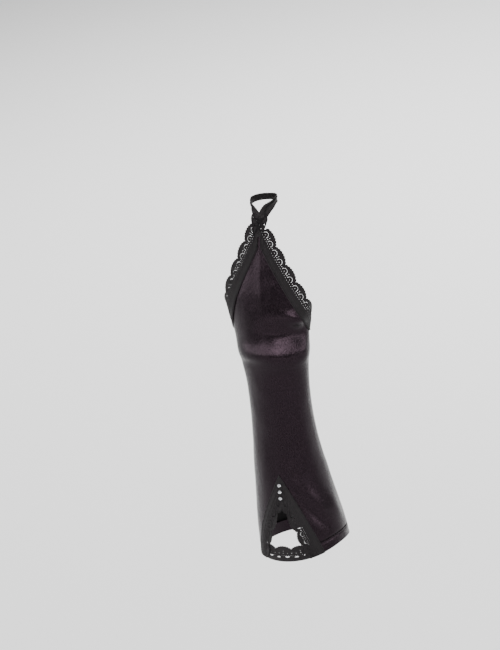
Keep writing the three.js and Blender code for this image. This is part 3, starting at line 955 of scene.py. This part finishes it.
def make_lace(name, lace, strip):
    """Scalloped lace: its gaps are cut out of a grid, whose corners move on to their outlines first."""
    bm = unit_grid(round(strip.scallops * lace.steps), lace.rows)
    distance = strip.distance
    side = {}
    spots = {}
    for vert in bm.verts:
        phase = vert.co.x * strip.scallops
        sewn = strip.sewn_at(phase)
        edge = scallop_edge(lace, phase)
        if vert.co.y < HEADER_ROWS:
            w = -sewn * (1 - vert.co.y / HEADER_ROWS)
        else:
            w = edge * (vert.co.y - HEADER_ROWS) / (1 - HEADER_ROWS)
        inside = 0 < vert.co.x < 1 and 0 < vert.co.y < 1
        phase, w, side[vert] = snapped(distance, phase, w, lace.pitch) if inside else (phase, w, 1)
        spots[vert] = (phase, w)
    for face in bm.faces[:]:
        corners = face.verts[:]
        signs = [side[vert] for vert in corners]
        if 1 in signs and -1 in signs:
            for k in (0, 1):
                if signs[k] == signs[k + 2] == 0:
                    bmesh.utils.face_split(face, corners[k], corners[k + 2])
                    break
    doomed = []
    for face in bm.faces:
        signs = [side[vert] for vert in face.verts]
        middle = [sum(spots[vert][k] for vert in face.verts) / len(signs) for k in (0, 1)]
        if sum(signs) < 0 or (sum(signs) == 0 and distance(*middle) < 0):
            doomed.append(face)
    bmesh.ops.delete(bm, geom=doomed, context="FACES")
    map_cloth(bm, lambda vert: (spots[vert][0] * lace.pitch, spots[vert][1]))
    for vert in bm.verts:
        phase, w = spots[vert]
        cord = bell(distance(phase, w) / CORD_REACH)
        rim = bell((scallop_edge(lace, phase) - w) / CORD_REACH)
        vert.co = strip.place(phase, w, lace.height - lace_drop(w) + lace.relief * max(cord, rim))
    return finished(bm, name, [lace_threads(lace)], lace.wall)


NET_THREAD_RADIUS = 0.00011
NET_THREAD_REACH = CRESCENT_HALF + 0.00015
NET_ANGLES = (-72, -54, -38, -20, -4, 14, 30, 48, 66)


def net_runs(lace, strip):
    """The fine thread that zigzags across each crescent gap from rim to rim."""
    runs = []
    for k in range(int(2 * strip.scallops)):
        middle = (k + 0.5) / 2
        run = []
        for i, angle in enumerate(NET_ANGLES):
            a = math.radians(angle)
            radius = CRESCENT_RADIUS + (NET_THREAD_REACH if i % 2 else -NET_THREAD_REACH)
            phase = middle + radius * math.sin(a) / lace.pitch
            run.append(strip.place(phase, ROSETTE_W + radius * math.cos(a), lace.height - lace.wall / 2))
        runs.append(run)
    return runs


def hand_trim(lace):
    """The hand trim's line, its start, the length of a scallop and their number."""
    line = EdgeLine()
    length = line.total - TRIM_START_THUMB_SIDE - TRIM_START_FAR_SIDE
    scallops = round(length / lace.pitch)
    return line, TRIM_START_THUMB_SIDE, length / scallops, scallops


def sewn_near_point(lace, line, s):
    """The width of the sewn part, which is cut along the middle line near the satin's point."""
    to_point = min(s, line.total - s)
    return min(lace.sewn, EDGE_SPREAD * to_point - GAP)


def make_net(lace, strips, stitches):
    """The net of fine thread in the crescent gaps of these strips."""
    runs = [run for strip in strips for run in net_runs(lace, strip)]
    return threads("lace_net", runs, NET_THREAD_RADIUS, stitch_thread(stitches))


def hand_strip(lace):
    """The trim round the hand opening."""
    line, start, pitch, scallops = hand_trim(lace)

    def place(phase, w, height):
        return on_arm(*line.beside(start + phase * pitch, w), height)

    def sewn_at(phase):
        return sewn_near_point(lace, line, start + phase * pitch)

    return Strip(scallops, place, partial(gap_distance, lace), sewn_at)


def on_keyhole(scallops, w, height):
    """A place of the keyhole's trim: scallops from its top, under zero on the thumb's side."""
    side_length = KEYHOLE_SIDE_RADIUS * (NOTCH_TOP_ANGLE - notch_angle_at(0, 0))
    pitch = (side_length - KEYHOLE_FIRST_VALLEY) / KEYHOLE_SCALLOPS
    s = KEYHOLE_FIRST_VALLEY + pitch * (abs(scallops) - 0.5)
    start = KEYHOLE_FIRST_VALLEY - pitch / 2
    at_top = max(0.0, 1 - (s - start) / (KEYHOLE_LEANING_SCALLOPS * pitch))
    at_foot = max(0.0, 1 - (side_length - s) / pitch)
    start_angle = NOTCH_TOP_ANGLE - start / KEYHOLE_SIDE_RADIUS
    lean_top = at_top * (notch_angle_on_middle(w) - start_angle)
    lean_foot = at_foot * (notch_angle_at(0, w) - notch_angle_at(0, 0))
    x, z = notch_point(NOTCH_TOP_ANGLE - s / KEYHOLE_SIDE_RADIUS + lean_top + lean_foot, w)
    return on_arm(notch_turn(math.copysign(x, -scallops)), z, height)


def keyhole_strip(lace):
    """The trim round the keyhole, with half a scallop on each side of its top."""
    half = KEYHOLE_SCALLOPS + 0.5

    def place(phase, w, height):
        return on_keyhole(phase - half, w, height)

    def distance(phase, w):
        return gap_distance(lace, phase - half + 0.5, w)

    return Strip(2 * half, place, distance, lambda phase: lace.sewn)


def bridge_strip(lace):
    """The bridge across the keyhole's foot, at the satin's own height."""

    def place(phase, w, height):
        z = BRIDGE_HEADER + w
        x = (notch_half_width(z) - GAP) * (2 * phase / BRIDGE_SCALLOPS - 1)
        return on_arm(notch_turn(x), z, height - lace.height + BRIDGE_HEIGHT)

    return Strip(BRIDGE_SCALLOPS, place, partial(bridge_gap_distance, lace), lambda phase: BRIDGE_HEADER)


# The rows of stitches on the trims, as shares of the sewn part, and the scallops that they run along on
# each side of the keyhole.
TRIM_STITCH_ROWS = (0.88, 0.2)
SIDE_STITCH_START = 0.02
SIDE_STITCH_SCALLOPS = KEYHOLE_SCALLOPS + 0.46


def make_trim_stitches(lace, stitches):
    """Two rows of stitches on each trim, near the inner edge of its sewn part and near the satin's edge."""
    line, start, pitch, scallops = hand_trim(lace)
    runs = []
    for share in TRIM_STITCH_ROWS:

        def on_hand(s, height, share=share):
            w = -share * sewn_near_point(lace, line, start + s)
            return on_arm(*line.beside(start + s, w), lace.height + height)

        runs += stitches_along(stitches, pitch * scallops, on_hand, STITCH_ON_LACE)
        for sign in (-1, 1):

            def on_side(s, height, share=share, sign=sign):
                along = sign * (SIDE_STITCH_START + s / lace.pitch)
                return on_keyhole(along, -share * lace.sewn, lace.height + height)

            runs += stitches_along(stitches, SIDE_STITCH_SCALLOPS * lace.pitch, on_side, STITCH_ON_LACE)
    return threads("trim_stitches", runs, stitches.radius, stitch_thread(stitches))


# The finger loop: its band, with a scalloped upper edge and small holes in two rows.
LOOP_TOP = 0.0009
LOOP_ROWS = 14
LOOP_STEPS_PER_HOLE = 6
LOOP_HOLE_PITCH = 0.0027
LOOP_HOLE_RADIUS = 0.00028
LOOP_HOLE_SHARES = (0.64, 0.36)
LOOP_SCALLOP_WIDTH = 0.0016
LOOP_SCALLOP_RISE = 0.09

# Its stem, which is rounded near the top.
STEM_HEIGHT = 0.0031
STEM_ROUNDS_FROM = 0.76
STEM_ROUNDING = 3.0
STEM_COLUMNS = 24
STEM_ROWS = 34
STEM_HOLE_ROWS = 6
STEM_HOLE_COLUMNS = 5.4
STEM_HOLE_RADIUS = 0.0005

# Its cords. The flower's rings are a radius and how far its petals stand out, in shares of the stem.
LOOP_CORD_RADIUS = 0.00032
LOOP_CORD_LIFT = 0.0003
LOOP_CORD_SHARE = 0.72
STEM_EDGE_CORD = 0.94
FLOWER_RINGS = ((0.08, 0.0), (0.21, 0.09))
FLOWER_PETALS = 6
FLOWER_STEPS = 60
FLOWER_WIDENED = 2.3


def on_loop(angle, share, height):
    """A point on the finger loop's band: an angle from the back of the finger and a share of its width."""
    band = smooth_row(LOOP, min(abs(angle), 180))
    a = math.radians(angle)
    return Vector((
        LOOP_X + (LOOP_HALF_WIDTH + height) * math.sin(a),
        LOOP_Y - (LOOP_HALF_DEPTH + height) * math.cos(a),
        between(band.low, band.high, share),
    ))


def on_stem(across, share, height):
    """A point on the stem: across it from -1 to 1, and a share of its length from the foot."""
    z = between(STEM_BOTTOM, STEM_TOP, share)
    widened = min(1.0, share / STEM_WIDENS_BY)
    rounded = 1 - STEM_ROUNDING * max(0.0, share / STEM_ROUNDS_FROM - 1) ** 2
    half = between(STEM_FOOT_HALF_WIDTH, STEM_HALF_WIDTH, widened) * rounded
    x = between(STEM_FOOT_X, STEM_TOP_X, widened) + half * across
    arm = arm_at(z)
    around = math.degrees(math.asin((x - arm.mid_x) / arm.half_width))
    return on_arm(around - arm.twist, z, height)


def cut_round_holes(bm, spots, holes):
    """Cuts round holes out of a grid: corners from 0.4 to 1.6 radii away move on to each rim first."""
    for vert in bm.verts:
        x, y = spots[vert]
        for hole in holes:
            away = math.hypot(x - hole.along, y - hole.w) / hole.radius
            if 0.4 < away < 1.6:
                spots[vert] = (hole.along + (x - hole.along) / away, hole.w + (y - hole.w) / away)
    doomed = []
    for face in bm.faces:
        x, y = (sum(spots[vert][k] for vert in face.verts) / len(face.verts) for k in (0, 1))
        if any(math.hypot(x - hole.along, y - hole.w) < 0.95 * hole.radius for hole in holes):
            doomed.append(face)
    bmesh.ops.delete(bm, geom=doomed, context="FACES")


def make_loop_band(lace):
    """The lace band round the finger."""
    round_length = math.pi * (LOOP_HALF_WIDTH + LOOP_HALF_DEPTH)
    width = LOOP[-1].high - LOOP[-1].low
    count = round(round_length / LOOP_HOLE_PITCH)
    pitch = round_length / count
    bm = unit_grid(LOOP_STEPS_PER_HOLE * count, LOOP_ROWS)
    spots = {vert: (vert.co.x * round_length, vert.co.y * width) for vert in bm.verts}
    holes = [
        Hole((k + 0.5) * pitch, width * LOOP_HOLE_SHARES[k % 2], LOOP_HOLE_RADIUS) for k in range(count)
    ]
    cut_round_holes(bm, spots, holes)
    map_cloth(bm, lambda vert: spots[vert])
    for vert in bm.verts:
        s, y = spots[vert]
        rim = bell(min(y, width - y) / CORD_REACH)
        rise = LOOP_SCALLOP_RISE if y > width / 2 else 0.0
        scallop = 1 + rise * abs(math.sin(math.pi * s / LOOP_SCALLOP_WIDTH))
        angle = 360 * s / round_length - 180
        share = 0.5 + (y / width - 0.5) * scallop
        vert.co = on_loop(angle, share, LOOP_TOP + lace.relief * rim)
    bmesh.ops.remove_doubles(bm, verts=bm.verts, dist=1e-6)
    return finished(bm, "finger_loop_band", [lace_threads(lace)], lace.wall)


def make_loop_stem(lace):
    """The lace stem from the satin's point up to the band."""
    bm = unit_grid(STEM_COLUMNS, STEM_ROWS)
    width = 2 * STEM_HALF_WIDTH
    length = STEM_TOP - STEM_BOTTOM
    spots = {vert: ((vert.co.x - 0.5) * width, vert.co.y * length) for vert in bm.verts}
    holes = [
        Hole(k * width / STEM_HOLE_COLUMNS, row * length / STEM_HOLE_ROWS, STEM_HOLE_RADIUS)
        for row in range(1, STEM_HOLE_ROWS)
        for k in range(-2, 3)
        if (row + k) % 2
    ]
    cut_round_holes(bm, spots, holes)
    map_cloth(bm, lambda vert: spots[vert])
    for vert in bm.verts:
        x, y = spots[vert]
        rim = bell((width / 2 - abs(x)) / CORD_REACH)
        vert.co = on_stem(2 * x / width, y / length, STEM_HEIGHT + lace.relief * rim)
    return finished(bm, "finger_loop_stem", [lace_threads(lace)], lace.wall)


def make_loop_cords(stitches):
    """The outlining cords: two cross on the stem and go round the band, and a flower lies between them."""

    def on_top(across, share):
        return on_stem(across, share, STEM_HEIGHT + LOOP_CORD_LIFT)

    runs = []
    for sign in (-1, 1):
        steps = [k / 14 for k in range(15)]
        crossing = [on_top(sign * between(-0.8, 0.7, step), between(0.1, 0.85, step)) for step in steps]
        for angle in range(34, 176, 6):
            crossing.append(on_loop(sign * angle, LOOP_CORD_SHARE, LOOP_TOP + LOOP_CORD_LIFT))
        runs.append(crossing)
        runs.append([on_top(sign * STEM_EDGE_CORD, k / 16) for k in range(15)])
    for ring, petals in FLOWER_RINGS:
        flower = []
        for k in range(FLOWER_STEPS + 1):
            a = math.tau * k / FLOWER_STEPS
            radius = ring + petals * math.cos(FLOWER_PETALS * a)
            flower.append(on_top(FLOWER_WIDENED * radius * math.cos(a), 0.5 + radius * math.sin(a)))
        runs.append(flower)
    return threads("finger_loop_cords", runs, LOOP_CORD_RADIUS, stitch_thread(stitches))


# The cut stones.
STONE_SIDES = 8
STONE_BACK = 0.00045

# A ring of a stone's corners: its height and radius, its corners for each side, and its turn in sides.
Ring = namedtuple("Ring", "height radius corners turned")


def make_stone(name, stones):
    """A round brilliant with a table, two rows of crown facets, a girdle and a flat foiled back."""
    low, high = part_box(name)
    centre = (low + high) / 2
    out = stone_direction(centre)
    base = centre - out * (stones.height / 2 + STONE_BACK)
    total = stones.height + STONE_BACK
    rings = [
        Ring(0.0, 0.72 * stones.radius, 2, 0.0),
        Ring(0.30 * total, stones.radius, 2, 0.0),
        Ring(0.42 * total, stones.radius, 2, 0.0),
        Ring(0.74 * total, 0.80 * stones.radius, 1, 0.5),
        Ring(total, stones.table, 1, 0.0),
    ]
    bm = bmesh.new()
    for ring in rings:
        turn = Matrix.Rotation(ring.turned * math.tau / STONE_SIDES, 4, "Z")
        place = Matrix.Translation((0, 0, ring.height)) @ turn
        bmesh.ops.create_circle(bm, segments=STONE_SIDES * ring.corners, radius=ring.radius, matrix=place)
    hull = bmesh.ops.convex_hull(bm, input=bm.verts)
    bmesh.ops.delete(bm, geom=hull["geom_interior"] + hull["geom_unused"], context="VERTS")
    bmesh.ops.dissolve_limit(bm, angle_limit=math.radians(1), verts=bm.verts, edges=bm.edges)
    upright = out.to_track_quat("Z", "Y").to_matrix().to_4x4()
    bmesh.ops.transform(bm, matrix=Matrix.Translation(base) @ upright, verts=bm.verts)
    return finished(bm, f"cut_{name}", [cut_crystal(stones)], smooth=False)


def stone_direction(place):
    """Out of the glove at a place on its middle line."""
    return directions(0, place.z)[2]


# The stage.
def make_stage(stage):
    """A wide flat floor."""
    bm = unit_grid(8, 8)
    bmesh.ops.translate(bm, verts=bm.verts, vec=(-0.5, -0.5, 0.0))
    bmesh.ops.scale(bm, verts=bm.verts, vec=(stage.floor_size, stage.floor_size, 1.0))
    bmesh.ops.translate(bm, verts=bm.verts, vec=(0.0, 0.0, -stage.floor_drop))
    mesh = bpy.data.meshes.new("floor")
    bm.to_mesh(mesh)
    bm.free()
    mesh.materials.append(pale_floor(stage))
    floor = bpy.data.objects.new("floor", mesh)
    bpy.context.scene.collection.objects.link(floor)


def make_sky(stage):
    """An even white light from all round."""
    world = bpy.data.worlds.new("studio")
    world.use_nodes = True
    background = world.node_tree.nodes["Background"]
    background.inputs["Color"].default_value = (1.0, 1.0, 1.0, 1.0)
    background.inputs["Strength"].default_value = stage.sky_strength
    bpy.context.scene.world = world


# The lamps, which the camera doesn't see: where each stands, what it faces, its size and its watts.
Lamp = namedtuple("Lamp", "name place aim width height power")
LAMPS = [
    Lamp("front", (0.31, -1.77, 0.78), (0.0, 0.0, 0.18), 2.0, 0.40, 40),
    Lamp("left", (-1.53, -0.95, 0.34), (0.0, 0.0, 0.20), 1.4, 0.34, 16),
    Lamp("right", (1.80, -0.10, 0.40), (0.0, 0.0, 0.20), 1.8, 0.30, 20),
    Lamp("left_edge", (-1.30, -0.20, 0.14), (0.0, 0.0, 0.14), 0.45, 0.66, 2.5),
    Lamp("right_edge", (0.95, 0.85, 0.14), (0.0, 0.0, 0.14), 0.45, 0.66, 1.5),
    Lamp("low_front", (0.05, -0.95, 0.045), (0.0, 0.0, 0.06), 1.1, 0.09, 1.5),
    Lamp("low_side", (0.84, -0.46, 0.045), (0.0, 0.0, 0.06), 0.8, 0.09, 0.9),
    Lamp("back", (0.0, 1.9, 1.6), (0.0, 1.9, 0.0), 3.0, 2.0, 125),
]


def make_lamp(lamp):
    light = bpy.data.lights.new(lamp.name, "AREA")
    light.shape = "RECTANGLE"
    light.size = lamp.width
    light.size_y = lamp.height
    light.energy = lamp.power
    holder = bpy.data.objects.new(lamp.name, light)
    holder.location = lamp.place
    holder.rotation_euler = (Vector(lamp.aim) - Vector(lamp.place)).to_track_quat("-Z", "Y").to_euler()
    holder.visible_camera = False
    bpy.context.scene.collection.objects.link(holder)


# The photograph's frame, in its pixels, and where a place of the glove shows in it.
FRAME_WIDTH = 500
FRAME_HEIGHT = 650
METRES_PER_PIXEL = 0.0008
AIMED_PLACE = (0.002, 0.0, 0.150)
AIMED_PIXEL = (281.9, 374.5)
SENSOR_MM = 36


def make_camera(stage):
    """A camera that turns round the aimed place and keeps it on its pixel."""
    az, el = stage.azimuth, stage.elevation
    back = Vector((math.sin(az) * math.cos(el), -math.cos(az) * math.cos(el), math.sin(el)))
    level = Vector((math.cos(az), math.sin(az), 0.0))
    up = back.cross(level)
    right = level * math.cos(stage.roll) - up * math.sin(stage.roll)
    up = back.cross(right)
    aside = (AIMED_PIXEL[0] - FRAME_WIDTH / 2) * METRES_PER_PIXEL
    below = (AIMED_PIXEL[1] - FRAME_HEIGHT / 2) * METRES_PER_PIXEL
    camera = bpy.data.cameras.new("camera")
    camera.sensor_width = SENSOR_MM
    camera.lens = camera.sensor_width * stage.distance / (FRAME_HEIGHT * METRES_PER_PIXEL)
    camera.clip_start = 0.01
    camera.clip_end = 100
    holder = bpy.data.objects.new("camera", camera)
    turned = Matrix((right, up, back)).transposed().to_4x4()
    place = Vector(AIMED_PLACE) + back * stage.distance - right * aside + up * below
    holder.matrix_world = Matrix.Translation(place) @ turned
    bpy.context.scene.collection.objects.link(holder)
    bpy.context.scene.camera = holder


# Operators.
class GloveOperator:
    bl_options = {"REGISTER", "UNDO"}


class GLOVE_OT_stage(GloveOperator, bpy.types.Operator):
    """Lay the pale floor and set the light and the camera"""

    bl_idname = "glove.stage"
    bl_label = "Stage"

    def execute(self, context):
        stage = context.scene.glove_stage
        make_stage(stage)
        make_sky(stage)
        for lamp in LAMPS:
            make_lamp(lamp)
        make_camera(stage)
        return {"FINISHED"}


class GLOVE_OT_satin(GloveOperator, bpy.types.Operator):
    """Sew the satin sleeve, its folded hem, the hem's stitches and the palm's seam"""

    bl_idname = "glove.satin"
    bl_label = "Satin"

    def execute(self, context):
        satin = context.scene.glove_satin
        stitches = context.scene.glove_stitches
        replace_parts(make_satin_sleeve(satin), "sleeve")
        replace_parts(make_satin_hem(satin), "arm_hem")
        make_hem_stitches(satin, stitches)
        make_palm_seam(satin, stitches)
        return {"FINISHED"}


class GLOVE_OT_lace(GloveOperator, bpy.types.Operator):
    """Make the lace of the hand opening, the keyhole and its bridge, and stitch it on"""

    bl_idname = "glove.lace"
    bl_label = "Lace"

    def execute(self, context):
        lace = context.scene.glove_lace
        stitches = context.scene.glove_stitches
        on_hand, on_sides = hand_strip(lace), keyhole_strip(lace)
        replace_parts(make_lace("hand_trim", lace, on_hand), "hand_lace")
        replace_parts(make_lace("keyhole_trim", lace, on_sides), "keyhole_lace")
        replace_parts(make_lace("keyhole_bridge_lace", lace, bridge_strip(lace)), "keyhole_bridge")
        make_net(lace, (on_hand, on_sides), stitches)
        make_trim_stitches(lace, stitches)
        return {"FINISHED"}


class GLOVE_OT_loop(GloveOperator, bpy.types.Operator):
    """Make the lace loop of the middle finger"""

    bl_idname = "glove.loop"
    bl_label = "Finger loop"

    def execute(self, context):
        lace = context.scene.glove_lace
        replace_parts(make_loop_band(lace), "finger_loop")
        make_loop_stem(lace)
        make_loop_cords(context.scene.glove_stitches)
        return {"FINISHED"}


class GLOVE_OT_stones(GloveOperator, bpy.types.Operator):
    """Cut and set the stones over the keyhole"""

    bl_idname = "glove.stones"
    bl_label = "Stones"

    def execute(self, context):
        for name in STONES:
            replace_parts(make_stone(name, context.scene.glove_stones), name)
        return {"FINISHED"}


class GLOVE_OT_declare(GloveOperator, bpy.types.Operator):
    bl_idname = "glove.declare"
    bl_label = "Declare cloth"

    def execute(self, context):
        return {"FINISHED"}


class GLOVE_PT_panel(bpy.types.Panel):
    """The glove's pieces and sizes"""

    bl_idname = "GLOVE_PT_panel"
    bl_label = "Satin Glove"
    bl_space_type = "VIEW_3D"
    bl_region_type = "UI"
    bl_category = "Glove"

    def draw(self, context):
        layout = self.layout
        for operator in OPERATORS:
            layout.operator(operator.bl_idname)
        for name, settings in SETTINGS.items():
            box = layout.box()
            box.label(text=settings.__doc__)
            group = getattr(context.scene, name)
            for key in settings.__annotations__:
                box.prop(group, key)


SETTINGS = {
    "glove_satin": SatinSettings,
    "glove_lace": LaceSettings,
    "glove_stitches": StitchSettings,
    "glove_stones": StoneSettings,
    "glove_stage": StageSettings,
}
OPERATORS = (
    GLOVE_OT_stage,
    GLOVE_OT_satin,
    GLOVE_OT_lace,
    GLOVE_OT_loop,
    GLOVE_OT_stones,
    GLOVE_OT_declare,
)
CLASSES = (*SETTINGS.values(), *OPERATORS, GLOVE_PT_panel)


def register():
    for each in CLASSES:
        bpy.utils.register_class(each)
    for name, settings in SETTINGS.items():
        setattr(bpy.types.Scene, name, bpy.props.PointerProperty(type=settings))


def unregister():
    for name in SETTINGS:
        delattr(bpy.types.Scene, name)
    for each in reversed(CLASSES):
        bpy.utils.unregister_class(each)


def main():
    register()
    bpy.ops.glove.stage()
    bpy.ops.glove.satin()
    bpy.ops.glove.lace()
    bpy.ops.glove.loop()
    bpy.ops.glove.stones()
    bpy.ops.glove.declare()
    bpy.context.view_layer.update()


if __name__ == "__main__":
    main()
